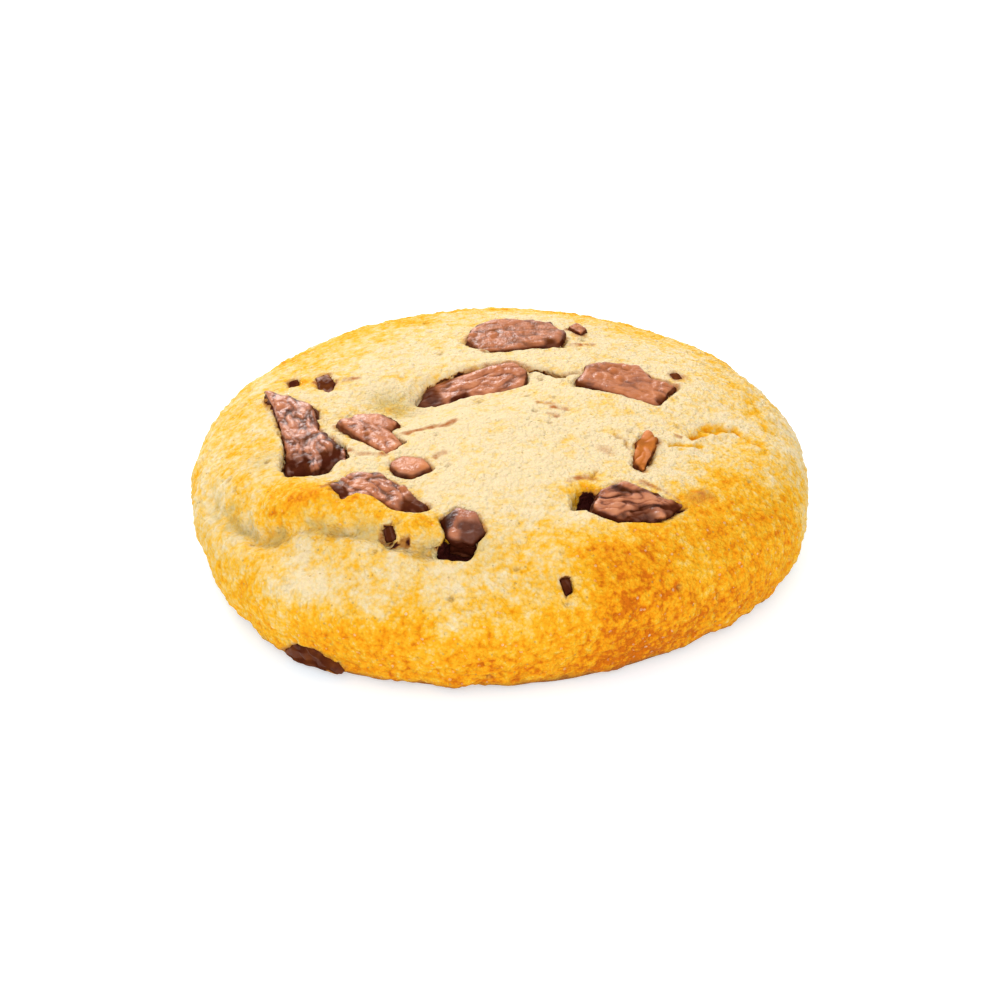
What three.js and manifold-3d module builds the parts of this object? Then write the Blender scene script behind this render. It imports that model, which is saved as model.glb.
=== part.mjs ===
// A chocolate chunk cookie: one baked piece of dough with chocolate chunks set in pockets in it.
// Millimetres, +Z up. The origin is on the flat base, under the middle of the cookie.
// -Y is the front, where most chunks lean out of the slope, and +X is the right.
import * as THREE from "three";
import { mergeVertices } from "three/addons/utils/BufferGeometryUtils.js";
import Module from "manifold-3d";

const wasm = await Module();
wasm.setup();

// ---------- driving dimensions ----------
const THICKNESS = 21; // base to the crown of the dome
const RIM_RADIUS = 42.4; // half of the width across the cookie
const GIRTH_HEIGHT = 7.5; // height of the widest part of the rim
const BASE_INSET = 3; // how far the flat base stays inside the rim
const RIM_TUCK = THREE.MathUtils.degToRad(62); // how far the rim curls under before it meets the base
const DOME_FULLNESS = 2.5; // 2 is an ellipse, and more is boxier
const DOUGH_DETAIL = 16; // splits along each edge of the icosahedron that the dough is moulded from
// Share of the way from the crown to the middle of the base at which the dome, then the rim, ends.
const DOME_END = 0.56;
const RIM_END = 0.8;

const CHUNK_THICKNESS = 5; // a bar of baking chocolate broken up
const CHUNK_BEVEL = 0.7; // melted edges
const FLECK_THICKNESS = 1.6;
const FLECK_BEVEL = 0.3;
const GAP = 0.3; // between a chunk and the dough of its pocket
const POCKET_MOUTH = 12; // how far a pocket is cut beyond the chunk's outer face

// Where the rim stands out of the round or falls short of it. Sides are in degrees from +X towards +Y.
const RIM_SWELLS = [
  { side: 232, spread: 28, out: 2.6 },
  { side: 305, spread: 18, out: -0.8 },
  { side: 335, spread: 15, out: 0.8 },
  { side: 140, spread: 22, out: -0.7 },
];

// Long mounds and hollows that follow the rim round the shoulder, at a radius from the middle.
const SHOULDER_FOLDS = [
  { side: 228, spread: 24, radius: 34, width: 4, rise: 1.5 }, // lump in front of the left chunks
  { side: 236, spread: 22, radius: 40.5, width: 2.6, rise: -1.3 }, // crease under that lump
  { side: 296, spread: 16, radius: 37, width: 5, rise: 0.7 }, // browned shoulder
  { side: 350, spread: 12, radius: 30, width: 4, rise: -0.8 }, // dip where the right side wrinkles
];

// Oval mounds and hollows on top of the dome: middle, half length, half width, and turn of the length.
const TOP_FORMS = [
  { x: -7, y: 0.5, length: 12, width: 4.5, turn: 22, rise: -2.6 }, // hollow that the middle chunk lies in
  { x: -3, y: -8, length: 10, width: 4, turn: 22, rise: 0.5 }, // crest in front of that hollow
  { x: -31, y: 2, length: 9, width: 4, turn: 110, rise: 0.8 }, // wall beside the left chunk
];

// Each piece's outer face: middle, turn about Z, then its lean and roll out of level, and its corners.
// Lean tips the face towards the front of the turned piece, and roll tips it towards its right.
const CHUNKS = [
  {
    name: "chunk_back",
    at: [2, 18, 21],
    lean: 4,
    corners: [[-7, -1], [-5.5, 3.5], [-1, 4.8], [5, 4], [7.2, 1], [6.5, -2], [1, -3.4], [-4.5, -4.4]],
  },
  {
    name: "chunk_middle",
    at: [-3.5, 6, 19.4],
    lean: 20,
    roll: -5,
    corners: [[-8.5, -3.5], [-7, 0], [0, 3], [5.5, 4.2], [7.5, 2.5], [7, -0.8], [1, -2.4], [-5, -4.2]],
  },
  {
    name: "chunk_right",
    at: [17, 5, 20.6],
    lean: 8,
    roll: 6,
    corners: [[-6.5, -1], [-5, 3], [-2.5, 4.4], [2.5, 4], [4, 1.6], [7.5, 0.2], [4.5, -5.4], [-1, -3.4]],
  },
  {
    name: "chunk_left",
    at: [-26.4, -8, 18.8],
    lean: 13,
    roll: -12,
    corners: [
      [-6.5, 11.5], [-2, 9], [1, 6.5], [1.8, 1.5], [5.8, -3],
      [6.3, -6], [1, -7], [-2.5, -8], [-2.6, -1], [-4.2, 5],
    ],
  },
  {
    name: "chunk_petal",
    at: [-17, -9, 20.2],
    lean: 7,
    roll: -3,
    corners: [[-5.2, 2.8], [-2.5, 4.5], [1.5, 4.4], [3.2, 2.2], [2.4, 0], [4.2, -3], [2, -5.5], [-2, -1]],
  },
  {
    name: "chunk_small",
    at: [-12.3, -17.8, 20.2],
    lean: 8,
    roll: -3,
    thickness: 3,
    corners: [[-2.4, 0.8], [-0.6, 2.3], [2.4, 1.5], [3.2, -0.5], [0.8, -2.2], [-1.2, -1.4]],
  },
  {
    name: "chunk_left_front",
    at: [-15.4, -24.4, 19.7],
    lean: 14,
    roll: -3,
    corners: [
      [-6.8, 2], [-4.2, 4.8], [-0.4, 4.4], [3.5, 0.6], [6, -2.4],
      [4.5, -4], [2, -3.5], [-1, -1], [-5, -1.5],
    ],
  },
  {
    name: "chunk_left_end",
    at: [-4.8, -30.4, 18.4],
    lean: 20,
    roll: -2,
    thickness: 4,
    corners: [[-2.7, 1.2], [-0.8, 3], [1.8, 2.1], [2.9, -0.8], [1.3, -2.7], [-1.6, -2]],
  },
  {
    name: "chunk_front_right",
    at: [17.6, -24.6, 18.5],
    lean: 18,
    roll: 10,
    corners: [[-5.8, -1.8], [-4.8, 1.6], [-1.6, 3.6], [6.4, 0.7], [3.6, -2.2], [-2.4, -3.4]],
  },
  {
    name: "sliver_right",
    at: [19.2, -13.4, 19.9],
    lean: 10,
    roll: 5,
    thickness: 2.4,
    corners: [[-1.6, -2.4], [-1, 1.4], [0.5, 4], [2, 3], [0.8, -1], [-0.2, -4.2]],
  },
  {
    name: "chunk_rim_front_left",
    at: [-24.1, -36.8, 2.1],
    turn: -34,
    lean: 104,
    thickness: 4,
    corners: [[-4.8, -0.6], [-2.6, 1.6], [0.2, 2], [1.6, 1], [4.6, -0.8], [3.4, -1.7], [-3, -1.7]],
  },
  {
    name: "chunk_rim_back_right",
    at: [18.9, 36.9, 10.2],
    turn: 153,
    lean: 68,
    corners: [[-5, -1.8], [-3.6, 2.2], [1, 2.8], [5, 0.8], [3.4, -2.6], [-2, -3]],
  },
  {
    name: "chunk_rim_back_left",
    at: [-25.2, 32.4, 11],
    turn: -142,
    lean: 62,
    corners: [[-3.8, -1], [-2.4, 2.6], [2.2, 2.8], [4, -0.4], [1.6, -3]],
  },
];

const FLECKS = [
  {
    name: "fleck_back",
    at: [11.2, 21.8, 20.2],
    lean: -4,
    roll: 6,
    corners: [[-1.4, 0.6], [0, 2.2], [1.4, 0.4], [0.4, -1.8]],
  },
  {
    name: "fleck_right",
    at: [24.6, 8.7, 19.5],
    roll: 10,
    corners: [[-0.9, 0.5], [0.3, 1.1], [1, -0.4], [-0.1, -1.3]],
  },
  {
    name: "fleck_left_back",
    at: [-24.3, 6.3, 19.2],
    lean: 3,
    roll: -12,
    corners: [[-1.6, 2.6], [0.2, 3], [1.5, 0], [1, -3], [-0.8, -1.2]],
  },
  {
    name: "fleck_far_left",
    at: [-28.9, 8.6, 17.9],
    lean: 4,
    roll: -20,
    corners: [[-1, 1.4], [0.5, 1.6], [1.1, -1.2], [-0.4, -1.6]],
  },
  {
    name: "fleck_low_left",
    at: [-14.2, -31.2, 17.9],
    lean: 30,
    roll: -6,
    corners: [[-0.9, 0.7], [0.5, 1], [0.9, -0.6], [-0.5, -1]],
  },
  {
    name: "fleck_front",
    at: [8.3, -37.8, 13.9],
    lean: 52,
    roll: 5,
    corners: [[-0.8, 0.9], [0.5, 1.2], [0.9, -0.6], [0, -1.4]],
  },
];

// Open cavities and a crack in the dough, where it baked away from a chunk. At is on the surface.
const CAVITIES = [
  {
    at: [10.6, -24.6, 18.9],
    lean: 18,
    depth: 3,
    corners: [[-1.4, -2], [-0.6, 1.6], [1.6, 2.2], [1.2, -2]],
  },
  {
    at: [-5.2, -34, 17.2],
    lean: 28,
    depth: 3,
    corners: [[-2, -0.8], [-1.4, 1.6], [2, 1.2], [1.2, -1.4]],
  },
  {
    at: [-25.4, -17.2, 18.4],
    lean: 16,
    depth: 2.4,
    corners: [[-3, -0.8], [-2.6, 1.6], [3, 1.6], [1.6, -0.4]],
  },
  {
    at: [7, 7.4, 20.8],
    turn: -30,
    depth: 1.6,
    corners: [[-3.6, 0.2], [-1, 0.7], [3.6, 0.2], [1, -0.3]],
  },
];

// ---------- shapes ----------
const bell = (offset, spread) => Math.exp(-((offset / spread) ** 2));
const degreesBetween = (a, b) => ((((a - b + 180) % 360) + 360) % 360) - 180;

function rimReach(side) {
  let reach = RIM_RADIUS;
  for (const swell of RIM_SWELLS) {
    reach += swell.out * bell(degreesBetween(side, swell.side), swell.spread);
  }
  return reach;
}

// How far the dough stands out of the plain dome at a point on it.
function relief(point) {
  const side = THREE.MathUtils.radToDeg(Math.atan2(point.y, point.x));
  const radius = Math.hypot(point.x, point.y);
  let rise = 0;
  for (const fold of SHOULDER_FOLDS) {
    const roundRim = bell(degreesBetween(side, fold.side), fold.spread);
    rise += fold.rise * roundRim * bell(radius - fold.radius, fold.width);
  }
  for (const form of TOP_FORMS) {
    const turn = THREE.MathUtils.degToRad(form.turn);
    const x = point.x - form.x;
    const y = point.y - form.y;
    const along = x * Math.cos(turn) + y * Math.sin(turn);
    const across = y * Math.cos(turn) - x * Math.sin(turn);
    rise += form.rise * bell(along, form.length) * bell(across, form.width);
  }
  return rise;
}

// Moves a point of the unit ball to the dough: superellipse dome, round rim, flat base.
function doughPoint(direction) {
  const bearing = Math.atan2(direction.y, direction.x);
  const reach = rimReach(THREE.MathUtils.radToDeg(bearing));
  const fall = Math.acos(THREE.MathUtils.clamp(direction.z, -1, 1)) / Math.PI;
  const at = (out, up) => new THREE.Vector3(out * Math.cos(bearing), out * Math.sin(bearing), up);
  if (fall <= DOME_END) {
    const turn = ((fall / DOME_END) * Math.PI) / 2;
    const share = Math.sin(turn) ** (2 / DOME_FULLNESS);
    const climb = Math.cos(turn) ** (2 / DOME_FULLNESS);
    const domeHeight = THICKNESS - GIRTH_HEIGHT;
    const point = at(reach * share, GIRTH_HEIGHT + domeHeight * climb);
    const steepness = DOME_FULLNESS - 1;
    const normal = at(share ** steepness / reach, climb ** steepness / domeHeight).normalize();
    return point.addScaledVector(normal, relief(point));
  }
  if (fall <= RIM_END) {
    const turn = ((fall - DOME_END) / (RIM_END - DOME_END)) * RIM_TUCK;
    const tuckedIn = BASE_INSET * ((1 - Math.cos(turn)) / (1 - Math.cos(RIM_TUCK)));
    return at(reach - tuckedIn, GIRTH_HEIGHT * (1 - Math.sin(turn) / Math.sin(RIM_TUCK)));
  }
  return at(((reach - BASE_INSET) * (1 - fall)) / (1 - RIM_END), 0);
}

function doughGeometry() {
  const ball = new THREE.IcosahedronGeometry(1, DOUGH_DETAIL);
  const points = ball.getAttribute("position");
  for (let i = 0; i < points.count; i++) {
    const moved = doughPoint(new THREE.Vector3().fromBufferAttribute(points, i).normalize());
    points.setXYZ(i, moved.x, moved.y, moved.z);
  }
  return ball;
}

// A slab under an outline, from z = 0 at its outer face down to its thickness.
function slab(corners, thickness, bevel) {
  const shape = new THREE.Shape(corners.map(([x, y]) => new THREE.Vector2(x, y)));
  const geometry = new THREE.ExtrudeGeometry(shape, {
    depth: thickness - 2 * bevel,
    bevelThickness: bevel,
    bevelSize: bevel,
    bevelOffset: -bevel,
    bevelSegments: 2,
  });
  return geometry.translate(0, 0, bevel - thickness);
}

// The room cut for a slab: its outline grown by the gap, open past its outer face.
function pocket(corners, thickness) {
  const shape = new THREE.Shape(corners.map(([x, y]) => new THREE.Vector2(x, y)));
  const geometry = new THREE.ExtrudeGeometry(shape, {
    depth: thickness + POCKET_MOUTH,
    bevelThickness: GAP,
    bevelSize: 0,
    bevelOffset: GAP,
    bevelSegments: 1,
  });
  return geometry.translate(0, 0, -thickness);
}

// ---------- joining and cutting ----------
function toSolid(geometry) {
  const plain = geometry.clone();
  plain.deleteAttribute("normal");
  plain.deleteAttribute("uv");
  const merged = mergeVertices(plain, 1e-4);
  return new wasm.Manifold(
    new wasm.Mesh({
      numProp: 3,
      vertProperties: merged.getAttribute("position").array,
      triVerts: Uint32Array.from(merged.index.array),
    }),
  );
}

function toGeometry(solid) {
  const mesh = solid.getMesh();
  const geometry = new THREE.BufferGeometry();
  geometry.setAttribute("position", new THREE.BufferAttribute(mesh.vertProperties, 3));
  geometry.setIndex(new THREE.BufferAttribute(mesh.triVerts, 1));
  geometry.computeVertexNormals();
  return geometry;
}

// ---------- the cookie ----------
const CHOCOLATE = new THREE.MeshStandardMaterial({ color: 0x6b3a2a, roughness: 0.45, metalness: 0 });
const BAKED_DOUGH = new THREE.MeshStandardMaterial({ color: 0xe9bd6a, roughness: 0.85, metalness: 0 });

const pieces = [
  ...CHUNKS.map((chunk) => ({ thickness: CHUNK_THICKNESS, bevel: CHUNK_BEVEL, ...chunk })),
  ...FLECKS.map((fleck) => ({ thickness: FLECK_THICKNESS, bevel: FLECK_BEVEL, ...fleck })),
];

// Puts an object where a chunk or a cavity lies: turned about Z, then leant and rolled.
function place(object, { at, turn = 0, lean = 0, roll = 0 }) {
  const [leant, rolled, turned] = [lean, roll, turn].map(THREE.MathUtils.degToRad);
  object.position.set(...at);
  object.rotation.set(leant, rolled, turned, "ZXY");
  object.updateMatrix();
  return object;
}

const cookie = new THREE.Group();
let dough = toSolid(doughGeometry());
for (const chunk of pieces) {
  const piece = place(new THREE.Mesh(slab(chunk.corners, chunk.thickness, chunk.bevel), CHOCOLATE), chunk);
  piece.name = chunk.name;
  cookie.add(piece);
  dough = dough.subtract(toSolid(pocket(chunk.corners, chunk.thickness).applyMatrix4(piece.matrix)));
}
for (const cavity of CAVITIES) {
  const { matrix } = place(new THREE.Object3D(), cavity);
  dough = dough.subtract(toSolid(pocket(cavity.corners, cavity.depth).applyMatrix4(matrix)));
}

const doughMesh = new THREE.Mesh(toGeometry(dough), BAKED_DOUGH);
doughMesh.name = "dough";
cookie.add(doughMesh);

export default cookie;
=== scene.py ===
# A chocolate chunk cookie on a plain pale floor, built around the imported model.
# Shapes are worked out in millimetres in the cookie's own frame: -Y is the front, +X the right, +Z up.
import itertools
import math

import bmesh
import bpy
import numpy as np
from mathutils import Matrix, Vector
from mathutils.bvhtree import BVHTree


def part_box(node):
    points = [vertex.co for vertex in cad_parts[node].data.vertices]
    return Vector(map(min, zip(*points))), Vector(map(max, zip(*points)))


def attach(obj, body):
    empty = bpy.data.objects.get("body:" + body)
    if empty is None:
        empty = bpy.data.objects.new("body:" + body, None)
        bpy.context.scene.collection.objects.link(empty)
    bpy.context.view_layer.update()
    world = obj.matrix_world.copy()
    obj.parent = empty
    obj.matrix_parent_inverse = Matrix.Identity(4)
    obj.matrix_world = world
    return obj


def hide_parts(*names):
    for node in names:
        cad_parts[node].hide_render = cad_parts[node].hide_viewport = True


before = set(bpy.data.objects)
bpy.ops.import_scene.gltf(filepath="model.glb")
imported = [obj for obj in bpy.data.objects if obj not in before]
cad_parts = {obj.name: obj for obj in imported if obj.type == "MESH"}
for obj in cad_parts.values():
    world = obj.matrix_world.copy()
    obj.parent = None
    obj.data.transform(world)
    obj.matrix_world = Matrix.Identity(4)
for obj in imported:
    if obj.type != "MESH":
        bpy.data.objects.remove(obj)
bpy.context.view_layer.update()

MM = 0.001
# Each layer of noise takes a seed of its own, counted up from this one.
SEED = 7
DOUGH_VOXEL = 0.28
CHOCOLATE_VOXEL = 0.18
FLECK_VOXEL = 0.13
# How far the chocolate is swollen to close its pocket, and how far the dough then sinks beneath its face.
POCKET_CLOSING = 0.25
SINKING = 1.1
# The usual distance to the nearest of scattered pebbles, in cell sizes: closer than this is a hump.
PEBBLE_EDGE = 0.62
# Loose crumbs: the share of the border's points that carry one, the least radius and how much it varies.
CRUMB_SHARE = 0.02
CRUMB_RADIUS = 0.28
CRUMB_VARIES = 0.4
# Rings of sky that a hollow may see: degrees above level, and the number of directions.
SKY_RINGS = ((60, 5), (30, 6))

CHOCOLATE_NODES = sorted(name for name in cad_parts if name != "dough")
TOP_NODES = [name for name in CHOCOLATE_NODES if not name.startswith(("fleck", "chunk_rim"))]
FLECK_NODES = [name for name in CHOCOLATE_NODES if name.startswith("fleck")]

# How each piece melted: its lightness, how orange its skin went, how many blisters rose on it (0 to 1),
# and how deeply it creased, which also sets how much darker its creases are painted as shade.
MELTED = {
    "chunk_back": (0.5, 0.25, 0.7, 0.5),
    "chunk_middle": (0.8, 0.15, 0.6, 0.5),
    "chunk_right": (0.65, 0.25, 0.9, 0.45),
    "chunk_left": (0.65, 0.1, 0.45, 0.9),
    "chunk_petal": (1.15, 0.2, 0.3, 0.7),
    "chunk_small": (1.15, 0.35, 0.1, 0.7),
    "chunk_left_front": (0.75, 0.15, 0.5, 0.85),
    "chunk_left_end": (0.55, 0.0, 0.0, 2.4),
    "chunk_front_right": (0.95, 0.05, 0.4, 1.0),
    "sliver_right": (0.9, 0.7, 0.9, 1.6),
    "chunk_rim_front_left": (0.3, 0.3, 0.0, 1.3),
    "chunk_rim_back_left": (0.7, 0.15, 0.6, 1.7),
    "chunk_rim_back_right": (0.65, 0.1, 0.6, 1.7),
    "fleck_back": (0.5, 0.4, 0.3, 0.6),
    "fleck_right": (0.5, 0.4, 0.0, 0.6),
    "fleck_left_back": (0.2, 0.3, 0.0, 0.8),
    "fleck_far_left": (0.3, 0.8, 0.0, 0.8),
    "fleck_low_left": (0.1, 0.1, 0.0, 0.8),
    "fleck_front": (0.1, 0.15, 0.0, 0.8),
}

# In the tables of places below, each row is a piece, an offset from its middle, and a spread.

# Torn, dark ends and edges of the chunks, and flecks that are dark all over. The dark colour is partly the
# torn chocolate's own and partly painted shade of the gaps and cavities there.
TORN_AND_SHADED = [
    ("chunk_left", (-2.5, -9.0), 4.2),
    ("chunk_left", (3.5, -7.5), 2.0),
    ("chunk_left_front", (4.6, -3.6), 2.4),
    ("chunk_left_front", (-5.6, -0.6), 1.8),
    ("chunk_front_right", (1.5, -3.6), 2.4),
    ("chunk_front_right", (5.6, -1.6), 2.2),
    ("chunk_middle", (-6.5, -3.6), 3.2),
    ("chunk_middle", (-1.5, -4.2), 2.2),
    ("chunk_back", (5.4, -3.6), 2.0),
    ("chunk_right", (5.6, -4.0), 1.6),
    ("chunk_left_end", (1.2, -2.2), 2.3),
    ("chunk_rim_front_left", (0.0, -2.0), 6.0),
    ("fleck_left_back", (0.0, 0.0), 2.0),
    ("fleck_low_left", (0.0, 0.0), 2.0),
    ("fleck_front", (0.0, 0.0), 2.0),
]

# Where the dough is drawn smooth round a hollow, with how many times over.
SOFTENED = [
    ("chunk_middle", (-8.5, -1.5), 4.0, 160),
    ("chunk_middle", (9.5, 2.5), 2.5, 30),
    ("chunk_front_right", (-8.0, 0.5), 2.2, 50),
    ("chunk_left_end", (0.0, -4.0), 2.0, 40),
    ("chunk_left", (-1.0, -11.0), 2.5, 30),
]

# Where the dough lies higher, with by how much. Below 0 is a hollow.
RAISED = [
    ("chunk_middle", (-9, -4), 5, -0.9),
    ("chunk_middle", (-1, -9.5), 4, 0.5),
]

# A thin wall left between the left chunk's pocket and the cavity in front of it goes down this far.
LOWERED = [("chunk_left", (2.2, -9.8), 1.5, 2.2)]

# Where the crust is browner, with by how much.
BROWNED = [
    ("fleck_front", (7.5, 0.5), 5, 0.6),
    ("fleck_front", (14, 5), 6, 0.16),
    ("chunk_front_right", (8.5, 1.5), 4, 0.26),
    ("chunk_front_right", (14, 2), 7, 0.14),
    ("chunk_front_right", (-6.6, 1.0), 2.3, 0.5),
    ("chunk_middle", (-10.8, -7.2), 2.0, 0.45),
    ("fleck_left_back", (0, -0.4), 2.2, 0.3),
    ("fleck_far_left", (0.9, -0.5), 1.2, 0.55),
]

# Painted olive-grey shade in the hollows beside these pieces, with how strongly.
OLIVE_SHADED = [
    ("chunk_middle", (-10, -6.8), 2.6, 0.8),
    ("chunk_middle", (-12.4, -5.2), 3, 0.5),
    ("chunk_left_end", (1.5, -4), 3, 0.5),
    ("chunk_left", (-5.5, -7), 3, 0.5),
]

# Wrinkles in the crust, as a path beside a piece, with its width, depth, lip on the front side, and darkness:
# how much of it is a crack painted dark as shade.
WRINKLES = [
    ("sliver_right", [(6.7, 6.3), (9.7, 9.8), (12.7, 10.2), (15.9, 8)], 0.8, 1.0, 0.6, 0.0),
    ("sliver_right", [(4.2, 2.3), (7.8, 4.4)], 0.6, 0.6, 0.4, 0.0),
    ("chunk_middle", [(7.4, 2.2), (10.2, 1.4), (12.5, 0.4), (14.8, 0.2)], 0.5, 1.3, 0.3, 1.0),
    ("sliver_right", [(-3.6, 3.4), (-2.4, 1.9), (-2.0, 0.8)], 0.25, 0.5, 0.1, 0.7),
    ("chunk_front_right", [(-5.0, 5.6), (-5.2, 4.2)], 0.3, 0.5, 0.1, 0.7),
]

# The crevice on the left front: bearings in degrees, and how far out it runs there as a share of the radius.
CREVICE = [(190, 0.97), (212, 0.955), (221, 0.94), (229, 0.865), (240, 0.83), (251, 0.825), (264, 0.80)]

# Chocolate smeared or baked through the crust: a piece, a path beside it, half its width, and its strength.
SMEARS = [
    ("chunk_petal", [(4.0, -0.8), (7.3, 0.5), (10.0, 1.1), (11.3, 1.9)], 0.42, 1.0),
    ("chunk_small", [(3.2, 2.0), (4.3, 2.6)], 0.5, 0.8),
    ("chunk_middle", [(9.0, -8.6), (10.8, -9.3)], 0.45, 0.8),
    ("chunk_middle", [(11.2, -10.0), (12.6, -10.3)], 0.5, 0.9),
    ("chunk_middle", [(10.8, -12.1), (11.4, -12.3)], 0.5, 0.8),
    ("sliver_right", [(-5.8, 0.1), (-4.6, -0.6)], 0.8, 0.45),
    ("sliver_right", [(4.6, 5.3), (4.9, 5.2)], 0.35, 0.9),
    ("chunk_back", [(8.2, -1.8), (9.0, -1.6)], 0.6, 0.8),
    ("chunk_back", [(10.4, -1.3), (11.0, -0.8)], 0.5, 0.7),
    ("chunk_left", [(0.2, 12.6), (1.6, 14.6)], 0.6, 0.75),
    ("chunk_left", [(4.4, 12.0), (6.2, 12.6)], 0.5, 0.75),
    ("chunk_front_right", [(8.0, 2.2), (9.6, 3.4)], 1.2, 0.5),
    ("chunk_front_right", [(-8.2, 2.9), (-6.2, 4.0), (-5.2, 3.4)], 0.5, 0.8),
    ("chunk_front_right", [(1.0, 4.0), (3.8, 2.8), (5.8, 1.2)], 0.4, 0.8),
    ("chunk_petal", [(-3.4, -3.4), (-0.6, -5.2), (2.2, -5.8)], 0.35, 0.8),
    ("chunk_left_front", [(-6.6, 1.0), (-7.4, -0.8)], 0.45, 0.7),
]

# Colours by how far the dough is baked, and by how light the chocolate is: its own milkiness, with painted
# shade darkening its creases.
BAKED_COLOURS = [
    (0.0, (0.73, 0.58, 0.34)),
    (0.15, (0.73, 0.53, 0.23)),
    (0.32, (0.75, 0.46, 0.095)),
    (0.5, (0.76, 0.38, 0.015)),
    (0.75, (0.73, 0.27, 0.004)),
    (1.0, (0.54, 0.13, 0.003)),
]
MILK_COLOURS = [
    (0.0, (0.02, 0.003, 0.002)),
    (0.3, (0.10, 0.024, 0.010)),
    (0.55, (0.33, 0.095, 0.034)),
    (1.0, (0.60, 0.235, 0.105)),
]
SUGAR = (0.72, 0.64, 0.44)
# Painted olive-grey shade, for the crevice and the hollows.
OLIVE_SHADE = (0.42, 0.32, 0.12)
PORE = (0.36, 0.22, 0.07)
SMEARED = (0.40, 0.14, 0.04)
# Painted shade in the hollows and cracks: orange-brown at their edges, near black within.
CAVITY_EDGE_SHADE = (0.42, 0.17, 0.03)
CAVITY_SHADE = (0.05, 0.008, 0.006)
# The foot's colour: partly a browner bake, partly a painted contact shadow.
FOOT_BAKE_AND_SHADOW = (0.22, 0.09, 0.02)
ORANGE_SKIN = (0.56, 0.17, 0.03)
BLISTER = (0.46, 0.13, 0.03)
# Torn chocolate near black: partly its own dull colour, partly painted shade.
BROKEN_AND_SHADED_COLOUR = (0.055, 0.011, 0.005)
FLOOR = (0.60, 0.68, 0.74)
WHITE = (1, 1, 1)


# ---------- places, from the frame ----------
def middle(node):
    """The middle of a CAD node's box, in millimetres."""
    low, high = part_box(node)
    return np.array((low + high) / 2) / MM


def beside(node, offset):
    """A place over the cookie, given from the middle of one of its pieces."""
    return middle(node)[:2] + np.array(offset, float)


def plan_distance(points, place):
    return np.linalg.norm(points[:, :2] - place, axis=1)


DOUGH_LOW, DOUGH_HIGH = (np.array(corner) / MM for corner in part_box("dough"))
RADIUS = (DOUGH_HIGH[0] - DOUGH_LOW[0]) / 2
HEIGHT = DOUGH_HIGH[2]


# ---------- noise ----------
def hashed(cell, seed):
    """A repeatable random number from 0 to 1 for each whole-numbered cell."""
    h = cell[..., 0] * 73856093 ^ cell[..., 1] * 19349663 ^ cell[..., 2] * 83492791 ^ (seed * 40503 + 977)
    h = h & 0xFFFFFFFF
    for _ in range(2):
        h = ((h ^ (h >> 16)) * 0x45D9F3B) & 0xFFFFFFFF
    return (h ^ (h >> 16)) / 2.0**32


def hashed_number(number, seed):
    """A repeatable random number from 0 to 1 for each whole number."""
    return hashed(np.stack([number] * 3, -1), seed)


def waves(points, size, seed):
    """Gradient noise, about -1 to 1, with features of the given size. Size may differ by axis."""
    scaled = points / np.asarray(size, float)
    cell = np.floor(scaled).astype(np.int64)
    part = scaled - cell
    eased = part**3 * (part * (part * 6 - 15) + 10)
    total = np.zeros(len(points))
    for corner in itertools.product((0, 1), repeat=3):
        near = cell + corner
        slope = np.stack([hashed(near, seed + k) for k in range(3)], -1) * 2 - 1
        weight = np.prod(np.where(corner, eased, 1 - eased), -1)
        total += weight * (slope * (part - corner)).sum(-1)
    return total * 1.5


def rough_waves(points, size, seed):
    """Gradient noise with a finer and fainter layer on it."""
    return waves(points, size, seed) + waves(points, size / 2, seed + 11) / 2


def bent(points, amount, size, seed, noise=waves):
    """Points moved about by noise, so that what is laid out on them wanders."""
    return points + amount * np.stack([noise(points, size, seed + k) for k in range(3)], -1)


def pebbles(points, size, seed):
    """Distance to the nearest of scattered points in cell sizes, and that point's random number."""
    scaled = points / size
    cell = np.floor(scaled).astype(np.int64)
    nearest = np.full(len(points), 9.0)
    number = np.zeros(len(points))
    for corner in itertools.product((-1, 0, 1), repeat=3):
        near = cell + corner
        spot = near + np.stack([hashed(near, seed + k) for k in range(3)], -1)
        away = np.linalg.norm(scaled - spot, axis=-1)
        closer = away < nearest
        nearest = np.where(closer, away, nearest)
        number = np.where(closer, hashed(near, seed + 3), number)
    return nearest, number


def humps(points, size, seed):
    """A surface of pebbles: above 0 on each one and below 0 between them."""
    return PEBBLE_EDGE - pebbles(points, size, seed)[0]


def smoothstep(low, high, value):
    """0 up to low, 1 from high on, and eased between. Low may be the larger."""
    share = np.clip((value - low) / (high - low), 0, 1)
    return share * share * (3 - 2 * share)


def bell(offset, spread):
    return np.exp(-((offset / spread) ** 2))


def from_path(points, path):
    """Distance of each point from a path in plan, and its distance to the left of the path."""
    nearest = np.full(len(points), 1e9)
    left = np.zeros(len(points))
    for start, end in zip(path[:-1], path[1:]):
        along = end - start
        offset = points[:, :2] - start
        share = np.clip((offset @ along) / (along @ along), 0, 1)
        distance = np.linalg.norm(offset - share[:, None] * along, axis=1)
        closer = distance < nearest
        nearest = np.where(closer, distance, nearest)
        left = np.where(closer, (along[0] * offset[:, 1] - along[1] * offset[:, 0]) / np.hypot(*along), left)
    return nearest, left


# ---------- mesh handling ----------
def piece(name, mesh, node):
    obj = bpy.data.objects.new(name, mesh)
    bpy.context.scene.collection.objects.link(obj)
    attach(obj, "root")
    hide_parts(node)
    return obj


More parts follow.
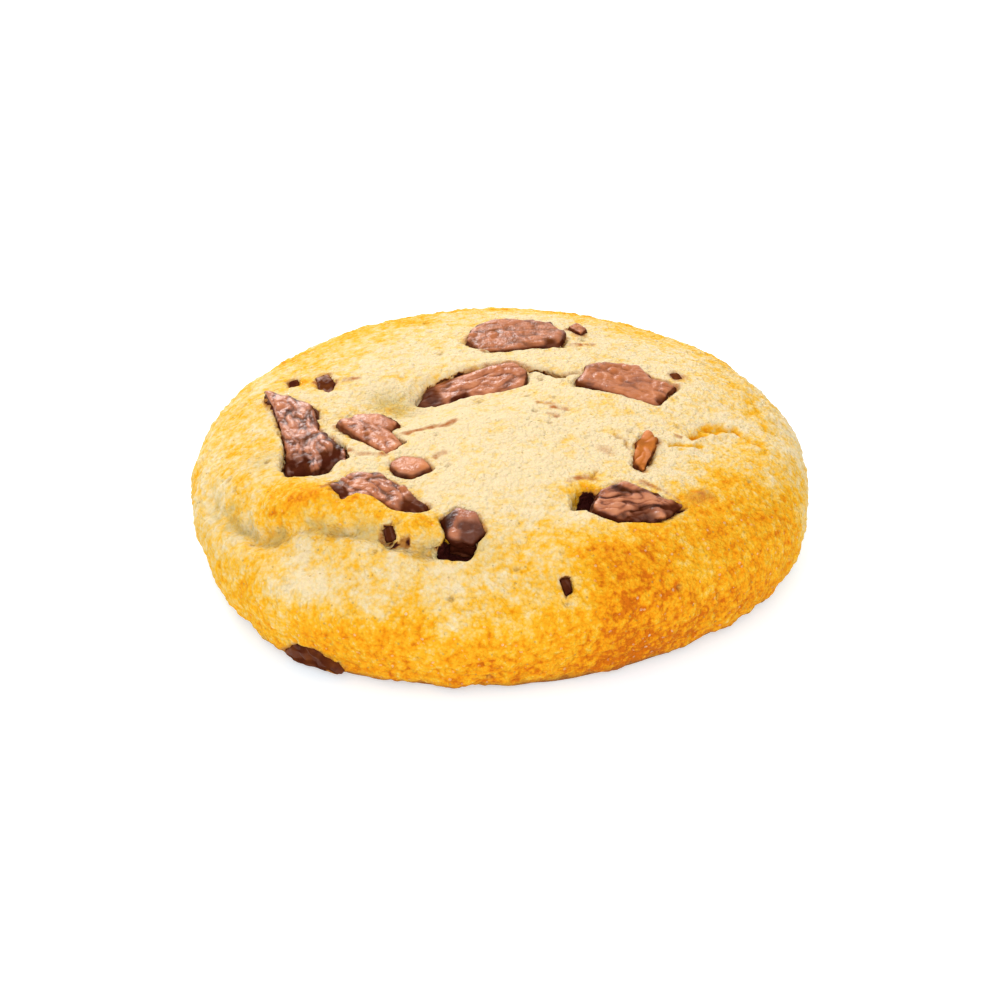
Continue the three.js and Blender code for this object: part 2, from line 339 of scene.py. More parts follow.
def even_surface(nodes, voxel, swell=0.0):
    """The outer surface of CAD nodes taken together, rebuilt as small even quads. All but the first swell."""
    solids = bmesh.new()
    for number, node in enumerate(nodes):
        solid = bmesh.new()
        solid.from_mesh(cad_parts[node].data)
        bmesh.ops.remove_doubles(solid, verts=solid.verts, dist=1e-6)
        solid.normal_update()
        for vertex in solid.verts:
            vertex.co += vertex.normal * (swell * MM if number else 0)
        swollen = bpy.data.meshes.new("swollen")
        solid.to_mesh(swollen)
        solid.free()
        solids.from_mesh(swollen)
    together = bpy.data.meshes.new("together")
    solids.to_mesh(together)
    solids.free()
    holder = bpy.data.objects.new("holder", together)
    bpy.context.scene.collection.objects.link(holder)
    remesh = holder.modifiers.new("even", "REMESH")
    remesh.mode = "VOXEL"
    remesh.voxel_size = voxel * MM
    graph = bpy.context.evaluated_depsgraph_get()
    mesh = bpy.data.meshes.new_from_object(holder.evaluated_get(graph))
    bpy.data.objects.remove(holder)
    mesh.materials.clear()
    smooth(mesh)
    return mesh


def smooth(mesh):
    mesh.polygons.foreach_set("use_smooth", np.ones(len(mesh.polygons), bool))


def read(mesh):
    """A mesh's points, in millimetres, and its normals."""
    points = np.empty(len(mesh.vertices) * 3)
    normals = np.empty(len(mesh.vertices) * 3)
    mesh.vertices.foreach_get("co", points)
    mesh.vertex_normals.foreach_get("vector", normals)
    return points.reshape(-1, 3) / MM, normals.reshape(-1, 3)


def write(mesh, points):
    mesh.vertices.foreach_set("co", (points * MM).ravel())
    mesh.update()


def edge_ends(mesh):
    ends = np.empty(len(mesh.edges) * 2, np.int64)
    mesh.edges.foreach_get("vertices", ends)
    return ends.reshape(-1, 2).T


def to_neighbours(mesh):
    """A function that gives the way from each point to the average of its neighbours."""
    a, b = edge_ends(mesh)
    count = np.bincount(np.concatenate([a, b]), minlength=len(mesh.vertices))

    def way(points):
        totals = [np.bincount(a, c[b], len(points)) + np.bincount(b, c[a], len(points)) for c in points.T]
        return np.stack(totals, -1) / count[:, None] - points

    return way


def relax(mesh, times, share=0.5):
    """Draws a mesh's points part of the way to the average of their neighbours, a few times over."""
    points, _ = read(mesh)
    way = to_neighbours(mesh)
    share = np.broadcast_to(share, len(points))[:, None]
    for _ in range(times):
        points += share * way(points)
    write(mesh, points)


def blunt(mesh, times, share):
    """Draws in a mesh's thin ridges and spikes, and leaves its flat and hollow places."""
    points, normals = read(mesh)
    way = to_neighbours(mesh)
    for _ in range(times):
        offset = way(points)
        sharp = smoothstep(0.04, 0.1, -(offset * normals).sum(-1))
        points += (share * sharp)[:, None] * offset
    write(mesh, points)
    return points


def spread_out(mesh, values, times):
    """Gives each point the largest value among its neighbours, a few times over."""
    a, b = edge_ends(mesh)
    for _ in range(times):
        grown = values.copy()
        np.maximum.at(grown, a, values[b])
        np.maximum.at(grown, b, values[a])
        values = grown
    return values


def mask(mesh, name, values):
    """Stores a number from 0 to 1 on each point, for the material to read."""
    layer = mesh.attributes.new(name, "FLOAT", "POINT")
    layer.data.foreach_set("value", np.clip(values, 0, 1).astype(np.float32))


# ---------- nearness ----------
def tree_of(meshes):
    points, faces = [], []
    for mesh in meshes:
        start = len(points)
        points += [v.co / MM for v in mesh.vertices]
        faces += [[start + i for i in polygon.vertices] for polygon in mesh.polygons]
    return BVHTree.FromPolygons(points, faces)


def tree_of_nodes(nodes):
    return tree_of([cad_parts[node].data for node in nodes])


def towards_chocolate(tree, points, reach):
    """For each point, the distance and the direction to the nearest chocolate within reach."""
    away = np.full(len(points), reach)
    direction = np.zeros_like(points)
    for i, point in enumerate(points):
        spot, normal, _, distance = tree.find_nearest(point, reach)
        if spot is not None:
            away[i] = distance
            direction[i] = -np.array(normal)
    return away, direction


def distance_from(tree, points, reach):
    nearest = (tree.find_nearest(point, reach)[3] for point in points)
    return np.array([reach if distance is None else distance for distance in nearest])


def closed_in(tree, points, chosen, reach):
    """For the chosen points, the share of the upper half of the sky hidden within reach."""
    hidden = np.zeros(len(points))
    sky = [Vector((0, 0, 1))]
    for rise, count in SKY_RINGS:
        for k in range(count):
            side = 2 * math.pi * (k + rise / 60) / count
            flat = math.cos(math.radians(rise))
            sky.append(Vector((flat * math.cos(side), flat * math.sin(side), math.sin(math.radians(rise)))))
    just_above = Vector((0, 0, 0.15))
    for i in np.flatnonzero(chosen):
        start = Vector(points[i]) + just_above
        hidden[i] = sum(tree.ray_cast(start, way, reach)[0] is not None for way in sky) / len(sky)
    return hidden


# ---------- dough ----------
class Ground:
    """The dough's points, with where each one lay on the cookie before it was shaped."""

    def __init__(self, mesh):
        self.mesh = mesh
        self.points, self.normals = read(mesh)
        self.radius = np.hypot(self.points[:, 0], self.points[:, 1])
        self.share = self.radius / RADIUS
        self.bearing = np.degrees(np.arctan2(self.points[:, 1], self.points[:, 0])) % 360
        self.under = smoothstep(-0.6, -0.9, self.normals[:, 2])
        self.flank = smoothstep(0.72, 0.96, self.share)

    def waves(self, size, seed):
        return waves(self.points, size, SEED + seed)

    def around(self, side, spread):
        """1 at a bearing in degrees, falling to 0 on either side."""
        return bell((self.bearing - side + 180) % 360 - 180, spread)

    def spots(self, table):
        """The amounts of a table of places, each falling to 0 over its spread."""
        return sum(
            amount * bell(plan_distance(self.points, beside(node, offset)), spread)
            for node, offset, spread, amount in table
        )


def rough_dough():
    """The dough with its pockets closed, and how far each point is from the CAD dough."""
    mesh = even_surface(["dough", *CHOCOLATE_NODES], DOUGH_VOXEL, POCKET_CLOSING)
    relax(mesh, 3)
    points, _ = read(mesh)
    off_dough = distance_from(tree_of_nodes(["dough"]), points, 3.0)
    for node, offset, spread, times in SOFTENED:
        relax(mesh, times, 0.5 * bell(plan_distance(points, beside(node, offset)), spread))
    return mesh, off_dough


def unevenness(ground):
    """Slow swells over the whole cookie, and drags down its flanks."""
    rise = 0.42 * ground.waves(13, 0) + 0.26 * ground.waves(6.5, 1) * (0.5 + 0.5 * ground.flank)
    rise += 0.12 * ground.waves(3.2, 2)
    round_the_rim = np.radians(ground.bearing) * RADIUS / 2.0
    drag_space = np.stack([round_the_rim, ground.radius / 11, ground.points[:, 2] / 11], -1)
    drags = waves(drag_space, 1, SEED + 20) + 0.6 * waves(drag_space * (2.1, 1.3, 1.3), 1, SEED + 24)
    rise += 0.16 * ground.flank * drags * (1 + 1.2 * ground.around(345, 40))
    return rise + ground.spots(RAISED)


def left_front(ground):
    """The lump and the crevice at the left front, from 0 to about 1, and what they do to the surface."""
    wavy = ground.radius + 0.9 * ground.waves(5, 26) + 0.5 * ground.waves(2, 27)
    past_crevice = wavy - RADIUS * np.interp(ground.bearing, *np.array(CREVICE).T)
    left_side = smoothstep(192, 206, ground.bearing) * smoothstep(270, 255, ground.bearing)
    crevice = left_side * bell(past_crevice - 0.4, 1.2)
    lump = ground.around(229, 15) * bell(past_crevice + 4.0, 3.2)
    lump += 0.65 * ground.around(251, 6) * bell(past_crevice + 2.8, 2.4)
    lump *= smoothstep(0.8, -0.8, past_crevice)
    rise = lump * (1.5 + 0.6 * ground.waves(2.8, 28)) - 1.7 * crevice * (0.75 + 0.5 * ground.waves(6, 29))
    return lump, crevice, rise


def wrinkled(ground):
    """The golden folds in the crust and the cracks painted dark as shade, and what they do to the surface."""
    golden = np.zeros(len(ground.points))
    crack_shade = np.zeros(len(ground.points))
    rise = np.zeros(len(ground.points))
    wandering = bent(ground.points, 0.8, 2.2, SEED + 30, rough_waves)
    for node, path, width, depth, lip, shade_share in WRINKLES:
        nearest, left = from_path(wandering, [beside(node, place) for place in path])
        fold = bell(nearest, width) * (0.75 + 0.6 * ground.waves(2.0, 34))
        golden = np.maximum(golden, fold * (1 - shade_share))
        # The cracks' darkness is painted shade, carried into the hollow shade mask.
        crack_shade = np.maximum(crack_shade, fold * shade_share)
        rise += lip * bell(left + 1.7 * width, width) * bell(nearest, 2.4 * width) - depth * fold
    return golden, crack_shade, rise


def crumbed(ground):
    """The crumb's grain and its pits, and what they do to the surface."""
    points = ground.points
    grain = 0.25 * humps(points, 2.2, SEED + 40)
    grain += 0.45 * humps(points, 1.15, SEED + 44)
    grain += 0.3 * humps(points, 0.7, SEED + 50)
    roughness = 0.5 + 0.35 * ground.flank + 0.4 * ground.waves(9, 60)
    pit_distance, pit_number = pebbles(points, 3.0, SEED + 70)
    pit = bell(pit_distance, 0.12) * (pit_number > 0.75)
    return grain, pit, 0.85 * roughness * grain - 0.5 * pit


def round_chocolate(ground, rise, off_dough):
    """Round the chocolate the crust breaks into crumbs, which lap over its edge or leave a gap.

    Gives each point's distance to the chocolate, how near that is, how bare the chocolate is there
    and the mended rise.
    """
    points = ground.points
    away, inward = towards_chocolate(tree_of_nodes(CHOCOLATE_NODES), points, 3.5)
    near = 1 - smoothstep(0.2, 1.5, away)
    crumbs, _ = pebbles(points, 1.0, SEED + 80)
    rise = rise + near * (0.42 * (PEBBLE_EDGE - crumbs) + 0.28 * ground.waves(1.7, 84))

    by_fleck = np.max([bell(plan_distance(points, middle(node)[:2]), 3.0) for node in FLECK_NODES], axis=0)
    lap = 0.75 * ground.waves(2.6, 86) + 0.4 * ground.waves(1.2, 87) + 0.8 * (0.55 - crumbs)
    lap = np.clip(lap, -0.1, 0.9) * (1 - 0.7 * by_fleck)
    bare = spread_out(ground.mesh, smoothstep(0.35, 0.7, off_dough - lap), 2)
    bare = np.minimum(bare, smoothstep(0.2, 0.45, off_dough))
    rise = rise * (1 - bare) - SINKING * bare

    from_chunk = distance_from(tree_of_nodes(TOP_NODES), points, 1.5)
    gap = smoothstep(-0.1, 0.35, 0.45 * inward[:, 1] + 0.6 * ground.waves(4, 88))
    rise -= 1.2 * gap * bell(from_chunk - 0.3, 0.35) * (1 - bare)
    return away, near, bare, rise


def settle(ground, rise, pit):
    """Moves the points. The foot is uneven, and its edge stands just clear of the floor in places."""
    points = ground.points
    level = points[:, 2]
    outwards = points * (1, 1, 0) / np.maximum(ground.radius, 1)[:, None]
    foot = smoothstep(4.5, 0.5, level) * (1 - ground.under)
    ragged = foot * (0.8 * ground.waves(5.0, 90) + 0.5 * ground.waves(2.0, 94))
    clearance = smoothstep(1.2, 0, level) * smoothstep(0.9, 0.93, ground.share)
    lifted = clearance * (0.1 + 0.5 * smoothstep(-0.2, 0.7, ground.waves(5, 97)))
    open_air = smoothstep(0.2, 1.6, level)
    ground.points = points + ground.normals * (rise * open_air)[:, None] + outwards * ragged[:, None]
    ground.points[:, 2] -= ground.spots(LOWERED)
    ground.points[:, 2] = np.maximum(ground.points[:, 2] + lifted, 0) + 0.2 * ground.under * pit
    write(ground.mesh, ground.points)


def browned(ground, lump, golden, near):
    """Baking: cream on top, golden shoulders, orange flanks, and toasted where the front right bulges."""
    around = ground.around
    share = ground.share
    level = ground.points[:, 2]
    uneven_level = level + 1.6 * ground.waves(6, 102)
    shoulder = smoothstep(0.6, 0.9, share)
    baked = 0.05 + 0.08 * ground.waves(14, 100) + ground.spots(BROWNED)
    baked += shoulder * (0.2 + 0.3 * around(307, 24) + 0.12 * around(342, 20) + 0.1 * around(90, 65))
    baked += 0.12 * around(105, 70) * smoothstep(0.35, 0.75, share)
    baked += 0.1 * around(140, 40) * bell(share - 0.65, 0.2)
    baked += 0.42 * around(268, 46) * smoothstep(14.5, 8, uneven_level)
    baked += smoothstep(11, 2, level) * (0.14 + 0.04 * around(290, 40))
    baked -= 0.14 * around(355, 22) * smoothstep(0.8, 0.95, share)
    baked -= 0.1 * around(244, 18) * bell(uneven_level - 12.5, 2.2)
    baked += 0.62 * lump * smoothstep(12, 14, level) + 0.8 * golden
    baked += (0.15 + 0.08 * shoulder) * ground.waves(5, 104) + 0.14 * ground.waves(2, 108)
    baked += 0.16 * near * ground.waves(2.6, 110) + 0.1 * shoulder * ground.waves(11, 112)
    # Past a certain brown it darkens more slowly.
    return np.minimum(baked, 0.33 + 0.48 * baked)


# Painted olive-grey shade down the left front crevice and in the listed hollows.
def painted_olive_shade(ground, crevice):
    patchy = ground.waves(4.5, 114) + 0.7 * ground.waves(1.2, 115)
    olive_shade = crevice * smoothstep(-0.6, 0.4, patchy) + ground.spots(OLIVE_SHADED)
    return olive_shade * (0.8 + 0.4 * ground.waves(1.6, 116))


def smeared(ground, away):
    """Chocolate smeared over the crust, and rubbed off on it close to the pieces."""
    smear = np.zeros(len(ground.points))
    wandering = bent(ground.points, 0.35, 1.3, SEED + 120)
    for node, path, width, strength in SMEARS:
        nearest, _ = from_path(wandering, [beside(node, place) for place in path])
        smear = np.maximum(smear, strength * smoothstep(1.5 * width, 0.6 * width, nearest))
    smear *= ground.points[:, 2] > HEIGHT / 3
    rubbed = smoothstep(0.9, 0.3, away) * smoothstep(-0.25, 0.3, ground.waves(2.4, 126))
    return np.maximum(smear * (0.8 + 0.8 * ground.waves(1.1, 128)), 0.85 * rubbed)


def build_dough(melted):
    mesh, off_dough = rough_dough()
    ground = Ground(mesh)
    lump, crevice, rise_at_left = left_front(ground)
    golden, painted_crack_shade, rise_at_folds = wrinkled(ground)
    grain, pit, rise_of_crumb = crumbed(ground)
    rise = unevenness(ground) + rise_at_left + rise_at_folds + rise_of_crumb
    away, near, bare, rise = round_chocolate(ground, rise, off_dough)
    settle(ground, rise, pit)
    ground.points = blunt(mesh, 8, 0.5 * near)

    level = ground.points[:, 2]
    shapes = tree_of([mesh] + [obj.data for obj in melted])
    hidden = closed_in(shapes, ground.points, (away < 2.2) & (bare < 0.5), 5.0)
    # Painted shade in hollows: the more of the sky a point near the chocolate cannot see, the darker its
    # colour is painted.
    hollow_shade = smoothstep(0.3, 0.7, hidden) * smoothstep(7, 10, level) * smoothstep(0.95, 0.88, ground.share)
    baked = browned(ground, lump, golden, near)
    # Darker at the foot: partly a browner bake and partly a painted contact shadow.
    foot_bake_and_shadow = smoothstep(0.84, 0.88, ground.share) * smoothstep(2.2, 0.5, level + 0.4 * ground.waves(2.2, 130))
    mask(mesh, "baked", baked + ground.under * 0.8)
    mask(mesh, "olive_shade", painted_olive_shade(ground, crevice))
    mask(mesh, "smear", smeared(ground, away))
    mask(mesh, "grain", 0.5 + 0.9 * grain)
    mask(mesh, "pit", pit)
    mask(mesh, "hollow_shade", np.maximum(hollow_shade, 0.62 * painted_crack_shade))
    mask(mesh, "foot", foot_bake_and_shadow)

    order = hashed_number(np.arange(len(level)), SEED + 150)
    lapping = (bare > 0.3) & (bare < 0.8) & (off_dough < 1.2) & (level > HEIGHT / 2)
    border = np.flatnonzero(lapping & (order < CRUMB_SHARE))
    crumbs = build_crumbs(ground.points[border], baked[border] + 0.15)
    return [piece("dough_crumb", mesh, "dough"), piece("loose_crumbs", crumbs, "dough")]


def build_crumbs(border, baked):
    """Loose crumbs on the places where the dough laps over the chocolate."""
    crumbs = bmesh.new()
    for number, place in enumerate(border):
        cell = np.array((number, 0, 0))
        size = CRUMB_RADIUS + CRUMB_VARIES * hashed(cell, SEED + 140) ** 2
        made = bmesh.ops.create_icosphere(crumbs, subdivisions=2, radius=1)["verts"]
        ball = np.array([vertex.co for vertex in made])
        squash = 0.7 + 0.6 * np.array([hashed(cell, SEED + 141 + k) for k in range(3)])
        lumps = 1 + 0.35 * waves(ball + 9 * number, 0.9, SEED + 145)
        for vertex, at in zip(made, place + size * squash * ball * lumps[:, None]):
            vertex.co = at * MM
    mesh = bpy.data.meshes.new("crumbs")
    crumbs.to_mesh(mesh)
    crumbs.free()
    smooth(mesh)
    points_each = len(mesh.vertices) // max(len(border), 1)
    mask(mesh, "baked", np.repeat(baked, points_each))
    mask(mesh, "grain", np.full(len(mesh.vertices), 0.5))
    return mesh


# ---------- chocolate ----------
def outward(node):
    """The direction in which a piece's outer face looks: the larger cap that points up or out."""
    caps = {}
    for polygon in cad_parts[node].data.polygons:
        key = tuple(round(c, 2) for c in polygon.normal)
        caps[key] = caps.get(key, 0) + polygon.area
    out = middle(node) + np.array((0, 0, 1))
    largest = sorted(caps, key=caps.get)[-2:]
    return np.array(max(largest, key=lambda normal: np.dot(normal, out)))


def torn_and_shaded_places(node, points, on_top, seed):
    """Where a piece is torn: on its sides, and at its torn ends and edges. Its colour is painted dark there,
    partly as shade of the gaps and cavities.
    """
    torn_and_shaded = 1 - on_top
    for torn_and_shaded_node, offset, spread in TORN_AND_SHADED:
        if torn_and_shaded_node == node:
            reach = plan_distance(points, beside(node, offset)) + 0.8 * waves(points, 1.6, seed)
            torn_and_shaded = np.maximum(torn_and_shaded, smoothstep(1.1 * spread, 0.6 * spread, reach))
    return torn_and_shaded


def build_chocolate(node, number):
    light, orange, blistered, creased = MELTED[node]
    fleck = node in FLECK_NODES
    seed = SEED + 200 + 17 * number
    mesh = even_surface([node], FLECK_VOXEL if fleck else CHOCOLATE_VOXEL)
    relax(mesh, 4)
    points, normals = read(mesh)
    out = outward(node)
    on_top = smoothstep(0.55, 0.92, normals @ out)
    # The torn places are also coloured near black, partly as painted shade of the gaps and cavities there.
    torn_and_shaded = torn_and_shaded_places(node, points, on_top, seed + 8)

    # The melted skin dried in rounded swells along the piece, with creases between them.
    centred = points - points.mean(0)
    along = np.linalg.svd(centred[on_top > 0.5], full_matrices=False)[2][0]
    across = np.cross(out, along)
    own = np.stack([centred @ along, centred @ across, centred @ out], -1)
    fineness = min(1, np.ptp(own[:, 0]) / 9)
    wandering = bent(own, 0.8, 3, seed) / fineness
    swells = 2.2 * np.abs(waves(wandering, (4.6, 1.7, 4), seed + 5))
    fine_swells = 2.2 * np.abs(waves(wandering, (2.4, 0.9, 3), seed + 7))
    skin = creased * fineness * (0.24 * swells + 0.13 * fine_swells)
    rise = 0.12 + 0.3 * waves(own, 4.5, seed + 8) + (1 - torn_and_shaded) * skin
    rise += torn_and_shaded * 0.4 * rough_waves(points, 1.5, seed + 9)

    # Blisters: flat rounds with a faint ring round each.
    blister_distance, blister_number = pebbles(own * (1, 1, 0.2), 2.4, seed + 13)
    chosen = (blister_number > 1 - 0.6 * blistered) * (1 - torn_and_shaded)
    size = 0.12 + 0.18 * hashed_number((blister_number * 1e6).astype(np.int64), seed)
    blister = chosen * smoothstep(size + 0.1, size - 0.1, blister_distance)
    rise += 0.2 * blister - 0.1 * chosen * bell(blister_distance - size - 0.12, 0.07)
    write(mesh, points + normals * (rise * (0.5 if fleck else 1))[:, None])

    # Painted shade: the creases are coloured darker.
    crease = 0.6 * smoothstep(0.5, 0, swells) + 0.4 * smoothstep(0.5, 0, fine_swells)
    patchy_orange = orange * (1 + 0.7 * waves(points, 1.4, seed + 15)) + 0.12 * waves(points, 3.0, seed + 16)
    mask(mesh, "blister", blister)
    mask(mesh, "broken_and_shaded", torn_and_shaded)
    # Low in the creases, where the colour is painted darker as shade.
    mask(mesh, "crest", 1 - creased * crease)
    mask(mesh, "light", np.full(len(points), light))
    mask(mesh, "orange", patchy_orange)
    return piece(node + "_melted", mesh, node)


# ---------- shader nodes ----------
def feed(tree, socket, value):
    """Gives a socket a number, a colour or the output of another node."""
    if isinstance(value, (int, float)):
        socket.default_value = value
    elif isinstance(value, tuple):
        socket.default_value = (*value, 1)
    else:
        tree.links.new(value, socket)


def ramp(tree, factor, stops):
    made = tree.nodes.new("ShaderNodeValToRGB")
    elements = made.color_ramp.elements
    while len(elements) < len(stops):
        elements.new(0.5)
    for element, (position, colour) in zip(elements, stops):
        element.position = position
        element.color = (*colour, 1)
    tree.links.new(factor, made.inputs[0])
    return made.outputs[0]


def attribute(tree, name):
    made = tree.nodes.new("ShaderNodeAttribute")
    made.attribute_name = name
    return made.outputs["Fac"]


def maths(tree, operation, *values, clamp=False):
    made = tree.nodes.new("ShaderNodeMath")
    made.operation = operation
    made.use_clamp = clamp
    for socket, value in zip(made.inputs, values):
        feed(tree, socket, value)
    return made.outputs[0]


def mixed(tree, share, a, b):
    made = tree.nodes.new("ShaderNodeMix")
    made.data_type = "RGBA"
    factor, first_colour, second_colour = made.inputs[0], made.inputs[6], made.inputs[7]
    for socket, value in ((factor, share), (first_colour, a), (second_colour, b)):
        feed(tree, socket, value)
    return made.outputs[2]


def texture(tree, kind, size, output, detail=3.0):
    """A texture in the object's own space, with features of a size in millimetres."""
    made = tree.nodes.new(kind)
    made.inputs["Scale"].default_value = 1 / (size * MM)
    if kind == "ShaderNodeTexNoise":
        made.inputs["Detail"].default_value = detail
    place = tree.nodes.new("ShaderNodeTexCoord")
    tree.links.new(place.outputs["Object"], made.inputs["Vector"])
    return made.outputs[output]


def noise(tree, size, detail=3.0):
    return texture(tree, "ShaderNodeTexNoise", size, "Fac", detail)


def cells(tree, size):
    return texture(tree, "ShaderNodeTexVoronoi", size, "Distance")


def swing(tree, value, amount):
    """A value from 0 to 1 turned into one about 0, up to half the amount either way."""
    return maths(tree, "MULTIPLY", maths(tree, "SUBTRACT", value, 0.5), amount)


def bump(tree, height, distance):
    made = tree.nodes.new("ShaderNodeBump")
    made.inputs["Distance"].default_value = distance * MM
    tree.links.new(height, made.inputs["Height"])
    return made.outputs["Normal"]


def new_material(name):
    material = bpy.data.materials.new(name)
    material.use_nodes = True
    return material, material.node_tree, material.node_tree.nodes["Principled BSDF"]


# ---------- materials ----------
def dough_material():
    material, tree, shader = new_material("baked_dough")
    baked = attribute(tree, "baked")
    mottle = noise(tree, 1.1, 3)
    fine = cells(tree, 0.5)

    # The colour of the baking, mottled more where it is browner.
    uneven = maths(tree, "ADD", swing(tree, mottle, 1.5), swing(tree, fine, 0.4))
    uneven = maths(tree, "SUBTRACT", uneven, swing(tree, attribute(tree, "grain"), 0.6))
    uneven = maths(tree, "MULTIPLY", uneven, maths(tree, "MULTIPLY_ADD", baked, 0.35, 0.5))
    colour = ramp(tree, maths(tree, "ADD", baked, uneven), BAKED_COLOURS)

    # Sugar specks, painted olive-grey shade in the crevice and hollows, pores and pits, smeared chocolate,
    # painted shade in the cavities and cracks, and the foot, darker partly from a browner bake and partly as
    # a painted contact shadow.
    is_speck = maths(tree, "LESS_THAN", cells(tree, 1.1), 0.2)
    speck = maths(tree, "MULTIPLY", is_speck, swing(tree, mottle, 2.4), clamp=True)
    colour = mixed(tree, speck, colour, SUGAR)
    # Painted olive-grey shade in the crevice and hollows.
    colour = mixed(tree, maths(tree, "MULTIPLY", attribute(tree, "olive_shade"), 0.8), colour, OLIVE_SHADE)
    pore = maths(tree, "MULTIPLY", maths(tree, "LESS_THAN", cells(tree, 1.5), 0.1), 0.5)
    pore = maths(tree, "MAXIMUM", pore, maths(tree, "MULTIPLY", attribute(tree, "pit"), 0.55))
    colour = mixed(tree, pore, colour, PORE)
    smear = maths(tree, "MULTIPLY", attribute(tree, "smear"), maths(tree, "ADD", 0.45, mottle), clamp=True)
    colour = mixed(tree, smear, colour, SMEARED)
    hollow_shade = attribute(tree, "hollow_shade")
    # Painted shade in the hollows and cracks: orange-brown first, then near black.
    colour = mixed(tree, maths(tree, "MULTIPLY", hollow_shade, 1.8, clamp=True), colour, CAVITY_EDGE_SHADE)
    colour = mixed(tree, maths(tree, "MULTIPLY_ADD", hollow_shade, 2.2, -1.0, clamp=True), colour, CAVITY_SHADE)
    # Darker at the foot: partly browner bake, partly painted contact shadow.
    colour = mixed(tree, maths(tree, "MULTIPLY", attribute(tree, "foot"), 0.8), colour, FOOT_BAKE_AND_SHADOW)

    height = maths(tree, "ADD", noise(tree, 0.8, 5), pore)
    height = maths(tree, "ADD", maths(tree, "MULTIPLY", fine, 0.5), height)
    feed(tree, shader.inputs["Base Color"], colour)
    feed(tree, shader.inputs["Roughness"], maths(tree, "MULTIPLY_ADD", mottle, 0.3, 0.6))
    feed(tree, shader.inputs["Normal"], bump(tree, maths(tree, "MULTIPLY", height, -1), 0.5))
    shader.inputs["Specular IOR Level"].default_value = 0.06
    shader.inputs["Subsurface Weight"].default_value = 0.12
    shader.inputs["Subsurface Radius"].default_value = (1.0 * MM, 0.5 * MM, 0.2 * MM)
    shader.inputs["Subsurface Scale"].default_value = 1.0
    return material


def chocolate_material():
    material, tree, shader = new_material("melted_chocolate")
    cloud = noise(tree, 1.6, 4)
    crest = attribute(tree, "crest")
    orange = attribute(tree, "orange")
    torn_and_shaded = attribute(tree, "broken_and_shaded")

    # Light on the crests and darker in the creases, which is painted shade; orange where the skin dried out;
    # and darkest where torn, partly the torn chocolate's own colour and partly painted shade of the gaps and
    # cavities there.
    lightness_and_crease_shade = maths(tree, "ADD", maths(tree, "MULTIPLY", attribute(tree, "light"), 0.5), swing(tree, cloud, 1.0))
    lightness_and_crease_shade = maths(tree, "ADD", lightness_and_crease_shade, maths(tree, "MULTIPLY_ADD", crest, 0.8, -0.5))
    colour = ramp(tree, lightness_and_crease_shade, MILK_COLOURS)
    colour = mixed(tree, orange, colour, ORANGE_SKIN)
    colour = mixed(tree, maths(tree, "MULTIPLY", attribute(tree, "blister"), 0.75), colour, BLISTER)
    # Near black where torn: partly the torn chocolate's own colour, partly painted shade.
    broken_and_shaded = maths(tree, "MULTIPLY", torn_and_shaded, maths(tree, "ADD", 0.35, cloud), clamp=True)
    colour = mixed(tree, broken_and_shaded, colour, BROKEN_AND_SHADED_COLOUR)

    # Glossy on the crests, dull where dried out or torn.
    dull = maths(tree, "ADD", orange, maths(tree, "MULTIPLY", torn_and_shaded, 0.7))
    rough = maths(tree, "MULTIPLY_ADD", cloud, 0.25, maths(tree, "MULTIPLY_ADD", dull, 0.3, 0.16))
    sheen = maths(tree, "MULTIPLY_ADD", dull, -0.5, maths(tree, "MULTIPLY", crest, 0.6), clamp=True)
    feed(tree, shader.inputs["Base Color"], colour)
    feed(tree, shader.inputs["Roughness"], rough)
    feed(tree, shader.inputs["Specular IOR Level"], sheen)
    feed(tree, shader.inputs["Normal"], bump(tree, maths(tree, "ADD", noise(tree, 0.6, 3), cloud), 0.16))
    return material


# ---------- the cookie ----------
DOUGH_FINISH = dough_material()
CHOCOLATE_FINISH = chocolate_material()

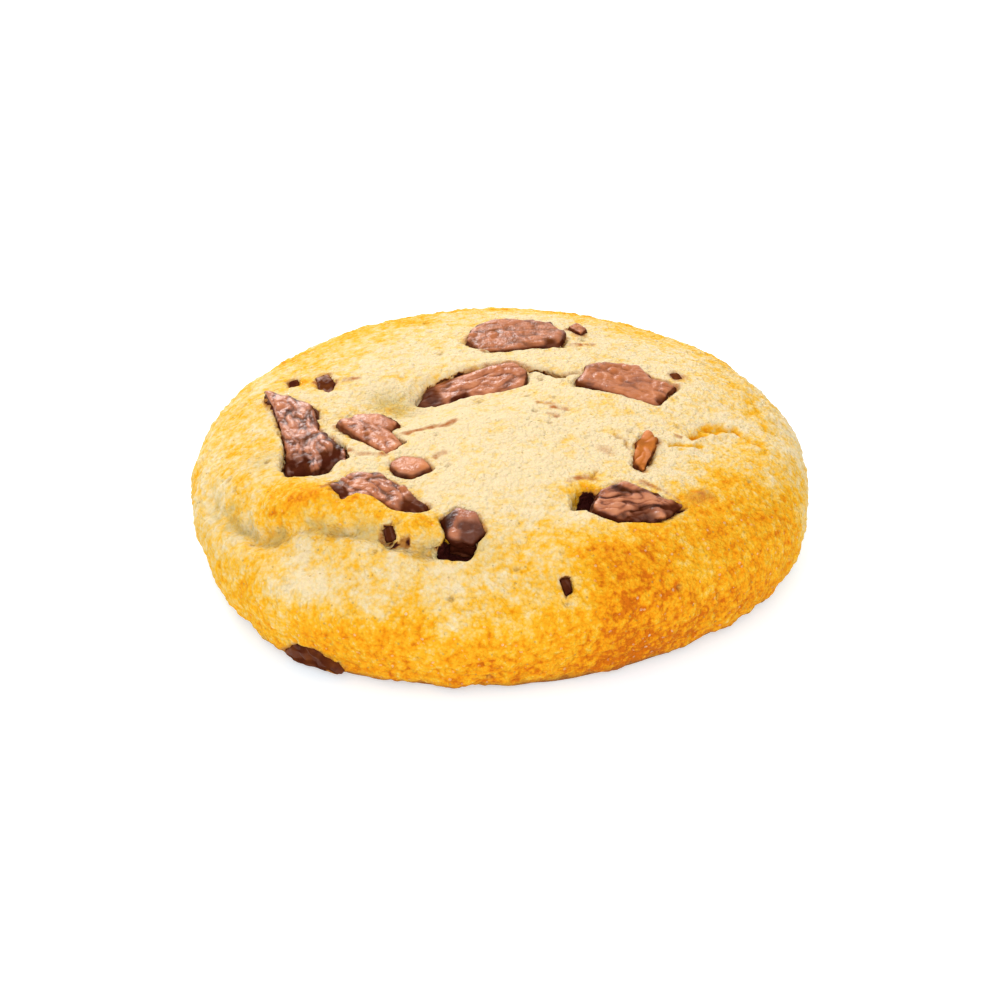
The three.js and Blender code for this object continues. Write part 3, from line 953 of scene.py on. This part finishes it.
melted = [build_chocolate(node, number) for number, node in enumerate(CHOCOLATE_NODES)]
for obj in melted:
    obj.data.materials.append(CHOCOLATE_FINISH)
for obj in build_dough(melted):
    obj.data.materials.append(DOUGH_FINISH)


# ---------- stage ----------
def stage(half_width, glow, backdrop):
    """A pale floor that glows a little, so that it stays pale under a light that leaves soft shadows."""
    mesh = bpy.data.meshes.new("floor")
    corners = [(x * half_width, y * half_width, 0) for x, y in ((-1, -1), (1, -1), (1, 1), (-1, 1))]
    mesh.from_pydata(corners, [], [(0, 1, 2, 3)])
    floor = bpy.data.objects.new("floor", mesh)
    bpy.context.scene.collection.objects.link(floor)
    material, tree, shader = new_material("pale_floor")
    feed(tree, shader.inputs["Base Color"], FLOOR)
    feed(tree, shader.inputs["Roughness"], 0.9)
    feed(tree, shader.inputs["Emission Color"], WHITE)
    feed(tree, shader.inputs["Emission Strength"], glow)
    mesh.materials.append(material)

    world = bpy.data.worlds.new("studio")
    bpy.context.scene.world = world
    world.use_nodes = True
    background = world.node_tree.nodes["Background"]
    feed(world.node_tree, background.inputs["Color"], WHITE)
    feed(world.node_tree, background.inputs["Strength"], backdrop)
    bpy.context.scene.view_settings.view_transform = "Standard"


def soft_light(name, place, size, power):
    light = bpy.data.lights.new(name, "AREA")
    light.size = size
    light.energy = power
    obj = bpy.data.objects.new(name, light)
    bpy.context.scene.collection.objects.link(obj)
    obj.location = place
    obj.rotation_euler = (-Vector(place)).to_track_quat("-Z", "Y").to_euler()


def camera(elevation, distance, lens, target):
    data = bpy.data.cameras.new("camera")
    data.lens = lens
    obj = bpy.data.objects.new("camera", data)
    bpy.context.scene.collection.objects.link(obj)
    back = Vector((0, -math.cos(math.radians(elevation)), math.sin(math.radians(elevation))))
    obj.location = Vector(target) + back * distance
    obj.rotation_euler = (-back).to_track_quat("-Z", "Y").to_euler()
    bpy.context.scene.camera = obj


stage(half_width=2.0, glow=0.46, backdrop=0.92)
soft_light("key", place=(-0.2, 0.45, 0.4), size=0.3, power=3.0)
soft_light("front_fill", place=(0.0, -0.7, 0.36), size=0.6, power=3.1)
camera(elevation=30.5, distance=0.38, lens=100, target=(0, -0.0075, 0.0088))
